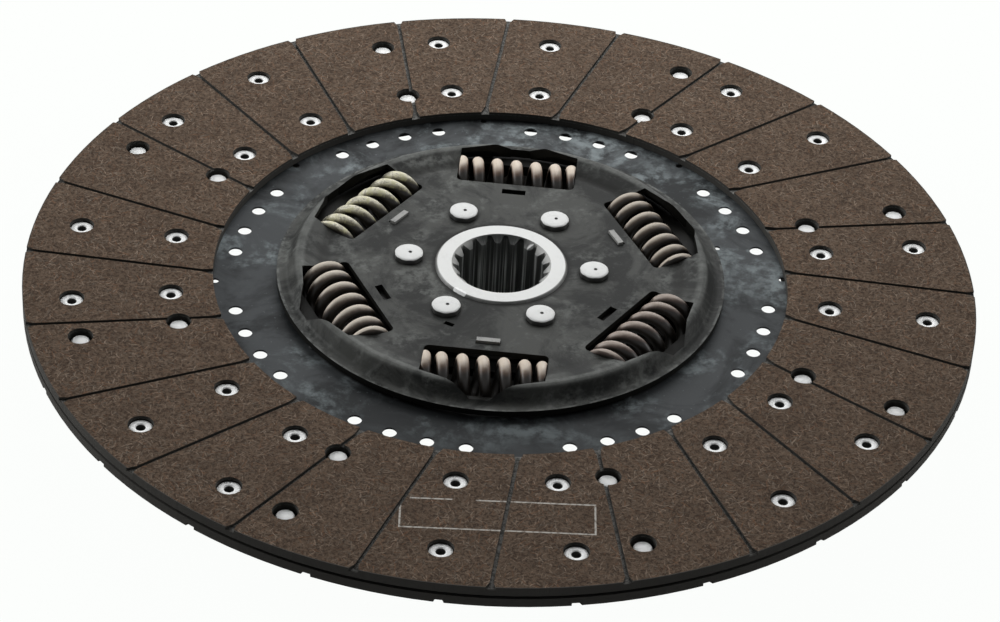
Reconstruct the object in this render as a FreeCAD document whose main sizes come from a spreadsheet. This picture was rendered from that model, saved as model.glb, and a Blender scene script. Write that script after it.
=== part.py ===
"""Heavy-duty clutch disc: a splined hub with two cover plates, six coil springs between them,
and a driver disc with cushion plate and riveted facings that twists against the springs.
Millimetres and degrees, +Z up the hub axis, origin at the centre of the hub's lower end face."""
import FreeCAD, Part
import math
import os
import re
import Sketcher

V = FreeCAD.Vector
UP = V(0, 0, 1)

# Driving dimensions
SIZES = [
    # Facings and their rivets
    ("facing_radius", 215.0),
    ("facing_bore_radius", 130.0),
    ("facing_thickness", 4.3),
    ("groove_count", 24),
    ("groove_angle", 3.6),
    ("groove_offset", 25.0),
    ("groove_width", 1.7),
    ("groove_depth", 1.4),
    ("groove_flare", 3.2),
    ("groove_inner_flare", 2.2),
    ("groove_inner_flare_length", 5.0),
    ("sector_count", 8),
    ("sector_angle", 5.5),
    ("outer_rivet_inset", 21.7),
    ("inner_rivet_inset", 19.3),
    ("rivet_angle_a", 5.6),
    ("rivet_angle_b", 14.0),
    ("rivet_angle_c", 34.1),
    ("counterbore_clearance", 0.5),
    ("counterbore_depth", 2.2),
    ("access_clearance", 1.6),
    ("shank_radius", 2.4),
    ("shank_clearance", 0.1),
    ("rolled_end_radius", 5.1),
    ("rolled_end_thickness", 0.6),
    ("rivet_bore_radius", 2.1),
    ("rivet_bore_depth", 3.4),
    ("solid_head_radius", 4.0),
    ("solid_head_height", 2.5),
    # Cushion plate
    ("cushion_thickness", 0.9),
    ("cushion_wave", 0.3),
    ("cushion_inset", 1.4),
    ("wave_width", 17.0),
    ("wave_margin", 13.0),
    ("slot_root_inset", 1.0),
    ("slot_root_radius", 1.7),
    ("slot_width", 2.0),
    ("vent_inset", 8.15),
    ("vent_radius", 3.15),
    ("vent_inner_angle", 4.0),
    ("vent_outer_angle", 12.0),
    ("index_hole_offset", 3.2),
    ("index_hole_radius", 1.5),
    ("index_hole_angle", 13.5),
    # Driver disc and the rivets that carry the cushion plate
    ("driver_half_thickness", 2.5),
    ("driver_web", 5.7),
    ("driver_rim_width", 7.0),
    ("driver_bore_clearance", 0.08),
    ("driver_window_clearance", 0.4),
    ("locating_clearance", 0.1),
    ("carrier_rivet_count", 12),
    ("carrier_shank_radius", 1.8),
    ("carrier_head_radius", 2.9),
    ("carrier_head_height", 1.2),
    # Levels of the whole disc
    ("middle_height", 34.0),
    ("damper_angle", 26.2),
    # Hub
    ("hub_radius", 30.0),
    ("hub_chamfer", 1.0),
    ("hub_proud", 1.05),
    ("flange_width", 20.0),
    ("spline_count", 18),
    ("spline_tip_radius", 19.3),
    ("spline_depth", 2.7),
    ("spline_space_half_tip", 2.35),
    ("spline_space_half_root", 0.95),
    ("mouth_depth", 3.0),
    ("mouth_allowance", 0.5),
    # Cover plates
    ("cover_thickness", 2.8),
    ("cover_top", 8.95),
    ("cover_bore_clearance", 0.15),
    ("bead_foot_inset", 8.9),
    ("bead_rise", 3.1),
    ("bead_slope", 17.0),
    ("crest_width", 3.0),
    ("wall_angle", 55.0),
    ("rim_level", 5.25),
    ("lip_width", 4.0),
    ("foot_fillet", 9.0),
    ("crest_inner_fillet", 5.0),
    ("crest_outer_fillet", 2.6),
    ("lip_fillet", 3.6),
    # Spring windows of the cover plates
    ("window_count", 6),
    ("window_length", 55.0),
    ("window_inner_lap", 0.3),
    ("window_outer_gap", 1.7),
    ("notch_depth", 6.2),
    ("notch_root_half", 15.3),
    ("notch_root_rise", 1.4),
    ("notch_tip_half", 4.2),
    ("window_corner_fillet", 2.5),
    # Tab slots and the rings with tabs
    ("tab_slot_web", 4.1),
    ("tab_slot_width", 3.6),
    ("tab_slot_length", 11.0),
    ("tab_thickness", 2.6),
    ("tab_clearance", 0.15),
    ("tab_side_clearance", 0.3),
    ("tab_reach", 1.2),
    ("tab_count", 3),
    ("mark_slot_offset", 1.0),
    ("mark_slot_angle", 218.8),
    ("mark_slot_length", 4.6),
    ("mark_slot_width", 2.2),
    # Hub rivets
    ("hub_rivet_inset", 7.9),
    ("hub_rivet_count", 6),
    ("hub_rivet_angle", 30.0),
    ("hub_rivet_radius", 4.2),
    ("hub_rivet_clearance", 0.05),
    ("hub_rivet_head_radius", 6.4),
    ("hub_rivet_head_height", 2.5),
    ("hub_rivet_edge", 0.7),
    ("centre_mark_radius", 1.0),
    ("centre_mark_depth", 0.8),
    # Friction rings
    ("ring_bore_clearance", 0.2),
    ("friction_gap", 0.05),
    ("friction_outer_gap", 2.1),
    ("friction_thickness", 1.6),
    ("pressure_ring_thickness", 1.2),
    ("disc_spring_thickness", 0.35),
    ("disc_spring_outer_clearance", 0.4),
    # Coil springs
    ("spring_offset", 26.0),
    ("spring_outer_radius", 12.4),
    ("spring_wire_radius", 2.7),
    ("spring_end_clearance", 0.35),
    ("spring_turns", 6.5),
    ("spring_end_rise", 7.0),
    ("spring_end_overlap", 0.4),
]

# Places that follow from the sizes, from the hub outwards and from the facings inwards
PLACES = {
    "hub_length": "(middle_height + cover_top + hub_proud)",
    "flange_radius": "(hub_radius + flange_width)",
    "spline_root_radius": "(spline_tip_radius + spline_depth)",
    "hub_rivet_circle": "(flange_radius - hub_rivet_inset)",
    "mark_slot_circle": "(flange_radius + mark_slot_offset)",
    "spring_circle": "(flange_radius + spring_offset)",
    "spring_inside": "(spring_circle - spring_outer_radius)",
    "spring_outside": "(spring_circle + spring_outer_radius)",
    "window_inner": "(spring_inside + window_inner_lap)",
    "window_outer_radius": "(spring_outside + window_outer_gap)",
    "notch_outer": "(window_outer_radius + notch_depth)",
    "tab_slot_outer": "(window_inner - tab_slot_web)",
    "tab_slot_inner": "(tab_slot_outer - tab_slot_width)",
    "tab_inner": "(tab_slot_inner + tab_clearance)",
    "tab_outer": "(tab_inner + tab_thickness)",
    "tab_length": "(tab_slot_length - 2 * tab_side_clearance)",
    "ring_bore": "(flange_radius + ring_bore_clearance)",
    "friction_outer_radius": "(spring_inside - friction_outer_gap)",
    "friction_face": "(driver_half_thickness + friction_gap)",
    "friction_back": "(friction_face + friction_thickness)",
    "pressure_back": "(friction_back + pressure_ring_thickness)",
    "bead_foot_radius": "(spring_outside - bead_foot_inset)",
    "flange_half": "(cover_top - cover_thickness)",
    "driver_window_inner": "(spring_inside - driver_window_clearance)",
    "driver_window_outer": "(spring_outside + driver_window_clearance)",
    "driver_step_radius": "(driver_window_outer + driver_web)",
    "driver_radius": "(driver_step_radius + driver_rim_width)",
    "carrier_rivet_circle": "(driver_step_radius + driver_rim_width / 2)",
    "index_hole_circle": "(driver_radius + index_hole_offset)",
    "outer_rivet_circle": "(facing_radius - outer_rivet_inset)",
    "inner_rivet_circle": "(facing_bore_radius + inner_rivet_inset)",
    "counterbore_radius": "(rolled_end_radius + counterbore_clearance)",
    "access_radius": "(solid_head_radius + access_clearance)",
    "cushion_radius": "(facing_radius - cushion_inset)",
    "wave_inner_radius": "(inner_rivet_circle - wave_margin)",
    "wave_outer_radius": "(outer_rivet_circle + wave_margin)",
    "slot_root_circle": "(facing_bore_radius - slot_root_inset)",
    "vent_circle": "(facing_bore_radius - vent_inset)",
    "facing_inner": "(cushion_thickness / 2 + cushion_wave)",
    "facing_outer": "(facing_inner + facing_thickness)",
}

doc = FreeCAD.newDocument("clutch_disc")
sheet = doc.addObject("Spreadsheet::Sheet", "sizes")
for row, (alias, size) in enumerate(SIZES, start=1):
    sheet.set("A%d" % row, alias)
    sheet.set("B%d" % row, str(size))
    sheet.setAlias("B%d" % row, alias)
doc.recompute()
ALIASES = {alias for alias, size in SIZES}


def bound(text):
    """Write an expression the way the document binds it, with places spelled out in the sheet's aliases."""
    while re.search(r"\b(%s)\b" % "|".join(PLACES), text):
        text = re.sub(r"[a-z_]+", lambda word: PLACES.get(word[0], word[0]), text)
    return re.sub(r"[a-z_]+", lambda word: "sizes." + word[0] if word[0] in ALIASES else word[0], text)


def size_of(text):
    """Value of such an expression, as a plain number."""
    return float(sheet.evalExpression(bound(text)))


def new_body(name, height="0", turn="0"):
    """A body with its own label, placed up the axis and turned about it."""
    body = doc.addObject("PartDesign::Body", name)
    body.Label = name
    body.setExpression("Placement.Rotation.Angle", bound(turn))
    body.setExpression("Placement.Base.z", bound(height))
    return body


def origin_feature(body, role):
    return next(item for item in body.Origin.OriginFeatures if item.Role == role)


def new_sketch(body, name, plane="XY_Plane", height="0", turn="0"):
    """An empty sketch on an origin plane of the body, at a height and turned about the axis."""
    sketch = body.newObject("Sketcher::SketchObject", body.Name + "_" + name)
    sketch.AttachmentSupport = [(origin_feature(body, plane), "")]
    sketch.MapMode = "FlatFace"
    if plane == "XY_Plane":
        sketch.AttachmentOffset = FreeCAD.Placement(V(0, 0, 0), FreeCAD.Rotation(UP, 1))
        sketch.setExpression("AttachmentOffset.Rotation.Angle", bound(turn))
        sketch.setExpression("AttachmentOffset.Base.z", bound(height))
    return sketch


def bind(sketch, constraint, text):
    index = sketch.addConstraint(constraint)
    name = "size_%d" % index
    sketch.renameConstraint(index, name)
    sketch.setExpression("Constraints." + name, bound(text))


def fix_point(sketch, geometry, vertex, x, y):
    """Tie one point of a sketch to the origin by its two coordinates."""
    bind(sketch, Sketcher.Constraint("DistanceX", -1, 1, geometry, vertex, size_of(x)), x)
    bind(sketch, Sketcher.Constraint("DistanceY", -1, 1, geometry, vertex, size_of(y)), y)


def add_circle(sketch, radius, x="0", y="0"):
    centre = V(size_of(x), size_of(y), 0)
    circle = sketch.addGeometry(Part.Circle(centre, UP, size_of(radius)))
    if x == "0" and y == "0":
        sketch.addConstraint(Sketcher.Constraint("Coincident", circle, 3, -1, 1))
    else:
        fix_point(sketch, circle, 3, x, y)
    bind(sketch, Sketcher.Constraint("Radius", circle, size_of(radius)), radius)


def add_outline(sketch, corners):
    """A closed outline of straight edges through corners given as pairs of expressions."""
    points = [V(size_of(x), size_of(y), 0) for x, y in corners]
    edges = []
    for start, end in zip(points, points[1:] + points[:1]):
        edges.append(sketch.addGeometry(Part.LineSegment(start, end)))
    for edge, following in zip(edges, edges[1:] + edges[:1]):
        sketch.addConstraint(Sketcher.Constraint("Coincident", edge, 2, following, 1))
    for edge, (x, y) in zip(edges, corners):
        fix_point(sketch, edge, 1, x, y)


def add_own_axis(sketch, x):
    """An upright line of construction in a profile, to turn a rivet about."""
    axis = sketch.addGeometry(Part.LineSegment(V(size_of(x), 0, 0), V(size_of(x), 1, 0)), True)
    fix_point(sketch, axis, 1, x, "0")
    fix_point(sketch, axis, 2, x, "1")


def add_rectangle(sketch, x_low, x_high, half_width):
    add_outline(sketch, [(x_low, "-(%s)" % half_width), (x_high, "-(%s)" % half_width),
                         (x_high, half_width), (x_low, half_width)])


def add_pad(body, sketch, length):
    pad = body.newObject("PartDesign::Pad", sketch.Name + "_pad")
    pad.Profile = sketch
    pad.setExpression("Length", bound(length))
    return pad


def add_pocket(body, sketch, depth=None, upward=False):
    """A pocket of a stated depth, or through everything when no depth is given."""
    pocket = body.newObject("PartDesign::Pocket", sketch.Name + "_pocket")
    pocket.Profile = sketch
    pocket.Reversed = upward
    if depth is None:
        pocket.Type = "ThroughAll"
    else:
        pocket.setExpression("Length", bound(depth))
    return pocket


def add_revolution(body, sketch, axis="V_Axis"):
    revolution = body.newObject("PartDesign::Revolution", sketch.Name + "_revolution")
    revolution.Profile = sketch
    revolution.ReferenceAxis = (sketch, [axis])
    revolution.Angle = 360
    return revolution


def add_pattern(body, features, count, name):
    pattern = body.newObject("PartDesign::PolarPattern", body.Name + "_" + name)
    pattern.Originals = features
    pattern.Axis = (origin_feature(body, "Z_Axis"), [""])
    pattern.Angle = 360
    pattern.setExpression("Occurrences", bound(count))
    body.Tip = pattern
    return pattern


def add_fillet(body, name, radius, wanted):
    """Round the edges of the body's tip for which wanted(edge) is true."""
    doc.recompute()
    base = body.Tip
    names = ["Edge%d" % number for number, edge in enumerate(base.Shape.Edges, start=1) if wanted(edge)]
    if not names:
        raise RuntimeError(body.Name + " " + name + ": no edge found to round")
    fillet = body.newObject("PartDesign::Fillet", body.Name + "_" + name)
    fillet.Base = (base, names)
    fillet.setExpression("Radius", bound(radius))
    body.Tip = fillet
    return fillet


def ring_at(radius, height, way):
    """A test for the circular edge about the axis at this radius, and at this height up or down."""
    wanted_radius = size_of(radius)
    wanted_height = way * size_of(height)

    def is_wanted(edge):
        if not isinstance(edge.Curve, Part.Circle):
            return False
        centre = edge.Curve.Center
        off_axis = math.hypot(centre.x, centre.y)
        return abs(edge.Curve.Radius - wanted_radius) + abs(centre.z - wanted_height) + off_axis < 0.01

    return is_wanted


def upright_at(radius):
    """A test for straight edges along the axis at this radius."""
    wanted_radius = size_of(radius)

    def is_wanted(edge):
        if not isinstance(edge.Curve, Part.Line):
            return False
        start, end = edge.Vertexes[0].Point, edge.Vertexes[-1].Point
        leaning = math.hypot(start.x - end.x, start.y - end.y)
        return leaning + abs(math.hypot(start.x, start.y) - wanted_radius) < 0.01

    return is_wanted


RIVET_ANGLES_UPPER = ["rivet_angle_a", "rivet_angle_c"]
RIVET_ANGLES_LOWER = ["rivet_angle_b"]
RIVET_CIRCLES = ["outer_rivet_circle", "inner_rivet_circle"]


def polar(radius, angle):
    """Coordinates of a place given by radius and angle, as a pair of expressions."""
    return "%s * cos(%s)" % (radius, angle), "%s * sin(%s)" % (radius, angle)


def add_hole_circles(sketch, radius, angles):
    for angle in angles:
        for circle in RIVET_CIRCLES:
            add_circle(sketch, radius, *polar(circle, angle))


def facing(name, above):
    """Friction ring with slanted grooves, counterbores for its rivets and access holes for the other's."""
    own, other = RIVET_ANGLES_UPPER, RIVET_ANGLES_LOWER
    base = "middle_height + facing_inner"
    face, way = "facing_thickness", ""
    if not above:
        own, other = other, own
        base = "middle_height - facing_outer"
        face, way = "0", "-"
    body = new_body(name, base, "sector_angle")
    ring = new_sketch(body, "ring")
    add_circle(ring, "facing_radius")
    add_circle(ring, "facing_bore_radius")
    add_pad(body, ring, "facing_thickness")
    shanks = new_sketch(body, "shank_holes", height="facing_thickness")
    add_hole_circles(shanks, "shank_radius + shank_clearance", own)
    access = new_sketch(body, "access_holes", height="facing_thickness")
    add_hole_circles(access, "access_radius", other)
    seats = new_sketch(body, "counterbores", height=face)
    add_hole_circles(seats, "counterbore_radius", own)
    holes = [add_pocket(body, shanks), add_pocket(body, access)]
    holes.append(add_pocket(body, seats, "counterbore_depth", upward=not above))
    add_pattern(body, holes, "sector_count", "sectors")
    groove = new_sketch(body, "groove", height=face, turn=way + "groove_angle")
    near = way + "(groove_offset - groove_width / 2)"
    far = way + "(groove_offset + groove_width / 2)"
    flare_near = way + "(groove_offset - groove_width / 2 - groove_flare)"
    flare_far = way + "(groove_offset + groove_width / 2 + groove_flare)"
    inner_near = way + "(groove_offset - groove_width / 2 - groove_inner_flare)"
    inner_far = way + "(groove_offset + groove_width / 2 + groove_inner_flare)"
    bore_edge = "sqrt(facing_bore_radius ^ 2 - groove_offset ^ 2)"
    start = bore_edge + " - groove_inner_flare_length"
    throat = bore_edge + " + groove_inner_flare_length"
    mouth = "sqrt(facing_radius ^ 2 - groove_offset ^ 2) - groove_flare"
    end = "facing_radius + groove_flare"
    add_outline(groove, [(start, inner_near), (throat, near), (mouth, near), (end, flare_near),
                         (end, flare_far), (mouth, far), (throat, far), (start, inner_far)])
    cut = add_pocket(body, groove, "groove_depth", upward=not above)
    add_pattern(body, [cut], "groove_count", "grooves")
    return body


def facing_rivets(name, above):
    """Semi-tubular rivets of one facing: solid head on the cushion plate, rolled end in the counterbore."""
    angles = RIVET_ANGLES_UPPER if above else RIVET_ANGLES_LOWER
    way = "" if above else "-"
    body = new_body(name, "middle_height", "sector_angle")
    plate_back = way + "(cushion_wave - cushion_thickness / 2)"
    head_end = way + "(cushion_wave - cushion_thickness / 2 - solid_head_height)"
    rolled_start = way + "(facing_outer - counterbore_depth)"
    rolled_end = way + "(facing_outer - counterbore_depth + rolled_end_thickness)"
    bore_end = way + "(facing_outer - counterbore_depth + rolled_end_thickness - rivet_bore_depth)"
    rivets = []
    for angle in angles:
        for circle in RIVET_CIRCLES:
            sketch = body.newObject("Sketcher::SketchObject", "%s_%s_%s" % (name, angle, circle))
            sketch.AttachmentSupport = [(origin_feature(body, "XZ_Plane"), "")]
            sketch.MapMode = "FlatFace"
            sketch.AttachmentOffset = FreeCAD.Placement(V(0, 0, 0), FreeCAD.Rotation(V(0, 1, 0), 1))
            sketch.setExpression("AttachmentOffset.Rotation.Angle", bound(angle))
            add_outline(sketch, [(circle, head_end), (circle + " + solid_head_radius", head_end),
                                 (circle + " + solid_head_radius", plate_back),
                                 (circle + " + shank_radius", plate_back),
                                 (circle + " + shank_radius", rolled_start),
                                 (circle + " + rolled_end_radius", rolled_start),
                                 (circle + " + rolled_end_radius", rolled_end),
                                 (circle + " + rivet_bore_radius", rolled_end),
                                 (circle + " + rivet_bore_radius", bore_end), (circle, bore_end)])
            add_own_axis(sketch, circle)
            rivets.append(add_revolution(body, sketch, "Axis0"))
    add_pattern(body, rivets, "sector_count", "sectors")
    return body


def cushion_plate():
    """Thin spring plate: pressed waves lift it to one facing or the other, slots part it into sectors."""
    body = new_body("cushion_plate", "middle_height - cushion_thickness / 2", "sector_angle")
    ring = new_sketch(body, "ring")
    add_circle(ring, "cushion_radius")
    add_circle(ring, "driver_step_radius + locating_clearance")
    add_pad(body, ring, "cushion_thickness")
    waves = []
    for angle, upward in (("rivet_angle_a", True), ("rivet_angle_b", False), ("rivet_angle_c", True)):
        top = new_sketch(body, "wave_top_" + angle, height="cushion_thickness", turn=angle)
        add_rectangle(top, "wave_inner_radius", "wave_outer_radius", "wave_width / 2")
        under = new_sketch(body, "wave_under_" + angle, turn=angle)
        add_rectangle(under, "wave_inner_radius", "wave_outer_radius", "wave_width / 2")
        if upward:
            waves.append(add_pad(body, top, "cushion_wave"))
            waves.append(add_pocket(body, under, "cushion_wave", upward=True))
        else:
            press = add_pad(body, under, "cushion_wave")
            press.Reversed = True
            waves.append(press)
            waves.append(add_pocket(body, top, "cushion_wave"))
    add_pattern(body, waves, "sector_count", "waves")
    above = "cushion_thickness * 3"
    slot = new_sketch(body, "slot", height=above)
    add_rectangle(slot, "slot_root_circle", "cushion_radius + slot_width", "slot_width / 2")
    root = new_sketch(body, "slot_root", height=above)
    add_circle(root, "slot_root_radius", "slot_root_circle")
    holes = new_sketch(body, "rivet_holes", height=above)
    add_hole_circles(holes, "shank_radius + shank_clearance", RIVET_ANGLES_UPPER + RIVET_ANGLES_LOWER)
    vents = new_sketch(body, "vents", height=above)
    for offset in ("vent_inner_angle", "vent_outer_angle"):
        for sign in ("+", "-"):
            angle = "(180 / sector_count %s %s)" % (sign, offset)
            add_circle(vents, "vent_radius", *polar("vent_circle", angle))
    cuts = [add_pocket(body, sketch) for sketch in (slot, root, holes, vents)]
    add_pattern(body, cuts, "sector_count", "sectors")
    index = new_sketch(body, "index_hole", height=above)
    add_circle(index, "index_hole_radius", *polar("index_hole_circle", "index_hole_angle"))
    add_pocket(body, index)
    carrier = new_sketch(body, "carrier_hole", height=above)
    add_circle(carrier, "carrier_shank_radius + shank_clearance", "carrier_rivet_circle")
    add_pattern(body, [add_pocket(body, carrier)], "carrier_rivet_count", "carrier_holes")
    return body


def driver_disc():
    """Middle plate: its bore runs on the hub flange, windows drive the springs, a step seats the cushion."""
    body = new_body("driver_disc", "middle_height", "damper_angle")
    rim = new_sketch(body, "rim", height="-driver_half_thickness")
    add_circle(rim, "driver_radius")
    add_pad(body, rim, "driver_half_thickness - cushion_thickness / 2")
    step = new_sketch(body, "step", height="-driver_half_thickness")
    add_circle(step, "driver_step_radius")
    add_pad(body, step, "driver_half_thickness * 2")
    bore = new_sketch(body, "bore", height="driver_half_thickness * 2")
    add_circle(bore, "flange_radius + driver_bore_clearance")
    add_pocket(body, bore)
    window = new_sketch(body, "window", height="driver_half_thickness * 2")
    add_rectangle(window, "driver_window_inner", "driver_window_outer", "window_length / 2")
    add_pattern(body, [add_pocket(body, window)], "window_count", "windows")
    turn = "sector_angle - damper_angle"
    hole = new_sketch(body, "carrier_hole", height="driver_half_thickness * 2", turn=turn)
    add_circle(hole, "carrier_shank_radius + shank_clearance", "carrier_rivet_circle")
    add_pattern(body, [add_pocket(body, hole)], "carrier_rivet_count", "carrier_holes")
    return body


def carrier_rivets():
    """Solid rivets that clamp the cushion plate on the driver disc's step."""
    body = new_body("carrier_rivets", "middle_height", "sector_angle")
    sketch = new_sketch(body, "profile", plane="XZ_Plane")
    circle = "carrier_rivet_circle"
    top, bottom = "cushion_thickness / 2", "-driver_half_thickness"
    head = circle + " + carrier_head_radius"
    dome = circle + " + carrier_head_radius / 2"
    shank = circle + " + carrier_shank_radius"
    low, high = bottom + " - carrier_head_height", top + " + carrier_head_height"
    add_outline(sketch, [(circle, low), (dome, low), (head, bottom + " - carrier_head_height / 3"),
                         (head, bottom), (shank, bottom), (shank, top), (head, top),
                         (head, top + " + carrier_head_height / 3"), (dome, high), (circle, high)])
    add_own_axis(sketch, circle)
    add_pattern(body, [add_revolution(body, sketch, "Axis0")], "carrier_rivet_count", "ring")
    return body


def hub():
    """Turned hub with a flange, a splined bore and chamfered tooth ends."""
    body = new_body("hub", "0", "damper_angle")
    profile = new_sketch(body, "profile", plane="XZ_Plane")
    mouth_radius = "spline_root_radius + mouth_allowance"
    low, high = "middle_height - flange_half", "middle_height + flange_half"
    add_outline(profile, [("spline_tip_radius", "mouth_depth"), (mouth_radius, "0"),
                          ("hub_radius - hub_chamfer", "0"), ("hub_radius", "hub_chamfer"),
                          ("hub_radius", low), ("flange_radius", low), ("flange_radius", high),
                          ("hub_radius", high), ("hub_radius", "hub_length - hub_chamfer"),
                          ("hub_radius - hub_chamfer", "hub_length"), (mouth_radius, "hub_length"),
                          ("spline_tip_radius", "hub_length - mouth_depth")])
    add_revolution(body, profile)
    space = new_sketch(body, "tooth_space", height="hub_length * 1.1")
    add_outline(space, [("spline_tip_radius * 0.9", "-spline_space_half_tip"),
                        ("spline_tip_radius", "-spline_space_half_tip"),
                        ("spline_root_radius", "-spline_space_half_root"),
                        ("spline_root_radius", "spline_space_half_root"),
                        ("spline_tip_radius", "spline_space_half_tip"),
                        ("spline_tip_radius * 0.9", "spline_space_half_tip")])
    add_pattern(body, [add_pocket(body, space)], "spline_count", "splines")
    hole = new_sketch(body, "rivet_hole", height="hub_length * 1.1", turn="hub_rivet_angle")
    add_circle(hole, "hub_rivet_radius + hub_rivet_clearance", "hub_rivet_circle")
    add_pattern(body, [add_pocket(body, hole)], "hub_rivet_count", "rivet_holes")
    return body


def cover_plate(name, upper):
    """Pressed side plate: flat centre, raised bead over the spring ends, six windows and six tab slots."""
    body = new_body(name, "middle_height", "damper_angle")
    bore = "hub_radius + cover_bore_clearance"
    crest = "cover_top + bead_rise"
    crest_in = "bead_foot_radius + bead_rise / tan(bead_slope)"
    crest_out = crest_in + " + crest_width"
    slope_shift = "cover_thickness * tan(bead_slope / 2)"
    wall_shift = "cover_thickness * tan(wall_angle / 2)"
    wall_foot = crest_out + " + (%s - rim_level) / tan(wall_angle)" % crest
    way = 1 if upper else -1
    profile = new_sketch(body, "profile", plane="XZ_Plane")
    outer = [(bore, "cover_top"), ("bead_foot_radius", "cover_top"), (crest_in, crest), (crest_out, crest),
             (wall_foot, "rim_level")]
    inner = [(crest_out + " - " + wall_shift, crest + " - cover_thickness"),
             (crest_in + " + " + slope_shift, crest + " - cover_thickness"),
             ("bead_foot_radius + " + slope_shift, "cover_top - cover_thickness"),
             (bore, "cover_top - cover_thickness")]
    if upper:
        lip = wall_foot + " + lip_width"
        rim = [(lip, "rim_level"), (lip, "rim_level - cover_thickness"),
               (wall_foot + " - " + wall_shift, "rim_level - cover_thickness")]
    else:
        rim = [(wall_foot + " - cover_thickness / sin(wall_angle)", "rim_level")]
    add_outline(profile, [(x, "%d * (%s)" % (way, level)) for x, level in outer + rim + inner])
    body.Tip = add_revolution(body, profile)
    add_fillet(body, "foot_fillet", "foot_fillet", ring_at("bead_foot_radius", "cover_top", way))
    add_fillet(body, "foot_fillet_inside", "foot_fillet",
               ring_at("bead_foot_radius + " + slope_shift, "cover_top - cover_thickness", way))
    add_fillet(body, "crest_inner_fillet", "crest_inner_fillet", ring_at(crest_in, crest, way))
    add_fillet(body, "crest_outer_fillet", "crest_outer_fillet", ring_at(crest_out, crest, way))
    if upper:
        add_fillet(body, "lip_fillet", "lip_fillet", ring_at(wall_foot, "rim_level", way))
    above = crest + " + cover_thickness"
    window = new_sketch(body, "window", height=above)
    half = "window_length / 2"
    outer_corner = "sqrt(window_outer_radius ^ 2 - (window_length / 2) ^ 2)"
    notch_root = "sqrt(window_outer_radius ^ 2 - notch_root_half ^ 2) + notch_root_rise"
    add_outline(window, [("window_inner", "-" + half), (outer_corner, "-" + half),
                         (notch_root, "-notch_root_half"), ("notch_outer", "-notch_tip_half"),
                         ("notch_outer", "notch_tip_half"), (notch_root, "notch_root_half"),
                         (outer_corner, half), ("window_inner", half)])
    slot = new_sketch(body, "tab_slot", height=above)
    add_rectangle(slot, "tab_slot_inner", "tab_slot_outer", "tab_slot_length / 2")
    add_pattern(body, [add_pocket(body, window), add_pocket(body, slot)], "window_count", "windows")
    add_fillet(body, "window_corners", "window_corner_fillet",
               upright_at("sqrt(window_inner ^ 2 + (window_length / 2) ^ 2)"))
    hole = new_sketch(body, "rivet_hole", height=above, turn="hub_rivet_angle")
    add_circle(hole, "hub_rivet_radius + hub_rivet_clearance", "hub_rivet_circle")
    add_pattern(body, [add_pocket(body, hole)], "hub_rivet_count", "rivet_holes")
    if upper:
        mark = new_sketch(body, "mark_slot", height=above, turn="mark_slot_angle")
        inside, outside = "mark_slot_circle - mark_slot_width / 2", "mark_slot_circle + mark_slot_width / 2"
        add_rectangle(mark, inside, outside, "mark_slot_length / 2")
        body.Tip = add_pocket(body, mark)
    return body


def hub_rivets():
    """Thick rivets that clamp both cover plates on the hub flange, with a centre mark in each head."""
    body = new_body("hub_rivets", "middle_height", "damper_angle + hub_rivet_angle")
    sketch = new_sketch(body, "profile", plane="XZ_Plane")
    circle = "hub_rivet_circle"
    head = circle + " + hub_rivet_head_radius"
    shank = circle + " + hub_rivet_radius"
    mark = circle + " + centre_mark_radius"
    end = "cover_top + hub_rivet_head_height"
    corners = [(circle, end + " - centre_mark_depth"), (mark, end), (head + " - hub_rivet_edge", end),
               (head, end + " - hub_rivet_edge"), (head, "cover_top"), (shank, "cover_top")]
    mirrored = [(x, "-(%s)" % height) for x, height in reversed(corners)]
    add_outline(sketch, mirrored + corners)
    add_own_axis(sketch, circle)
    add_pattern(body, [add_revolution(body, sketch, "Axis0")], "hub_rivet_count", "ring")
    return body


def plain_ring(name, inner, outer, low, high):
    """Flat ring about the axis between two levels measured from the middle of the damper."""
    body = new_body(name, "middle_height", "damper_angle")
    sketch = new_sketch(body, "ring", height=low)
    add_circle(sketch, outer)
    add_circle(sketch, inner)
    add_pad(body, sketch, "(%s) - (%s)" % (high, low))
    return body


def tabbed_ring(name, low, high, upward):
    """Steel ring whose bent tabs reach through every second slot of a cover plate, so it can't turn."""
    body = plain_ring(name, "ring_bore", "tab_outer", low, high)
    tab = new_sketch(body, "tab", height=low if upward else high)
    add_rectangle(tab, "tab_inner", "tab_outer", "tab_length / 2")
    reach = "cover_top + tab_reach - (%s)" % low
    if not upward:
        reach = "cover_top + tab_reach + (%s)" % high
    pad = add_pad(body, tab, reach)
    pad.Reversed = not upward
    add_pattern(body, [pad], "tab_count", "tabs")
    return body


def disc_spring():
    """Conical spring washer between the pressure ring and the upper cover plate."""
    body = new_body("disc_spring", "middle_height", "damper_angle")
    sketch = new_sketch(body, "profile", plane="XZ_Plane")
    outer = "tab_inner - disc_spring_outer_clearance"
    add_outline(sketch, [("ring_bore", "pressure_back"),
                         ("ring_bore", "pressure_back + disc_spring_thickness"),
                         (outer, "flange_half"), (outer, "flange_half - disc_spring_thickness")])
    add_revolution(body, sketch)
    return body


def coil_path(circle, half_length, mean_radius, turns, end_rise, steps):
    """Points along the coil: closed end turns, even pitch between, its axis square to X at the circle."""
    pitch = 2 * (half_length - end_rise) / (turns - 2)
    points = []
    for step in range(int(round(turns * steps)) + 1):
        turn = step / steps
        if turn < 1:
            along = end_rise * turn - half_length
        elif turn < turns - 1:
            along = end_rise - half_length + pitch * (turn - 1)
        else:
            along = half_length - end_rise * (turns - turn)
        angle = 2 * math.pi * turn
        points.append(V(circle - mean_radius * math.cos(angle), along, mean_radius * math.sin(angle)))
    return points


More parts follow.
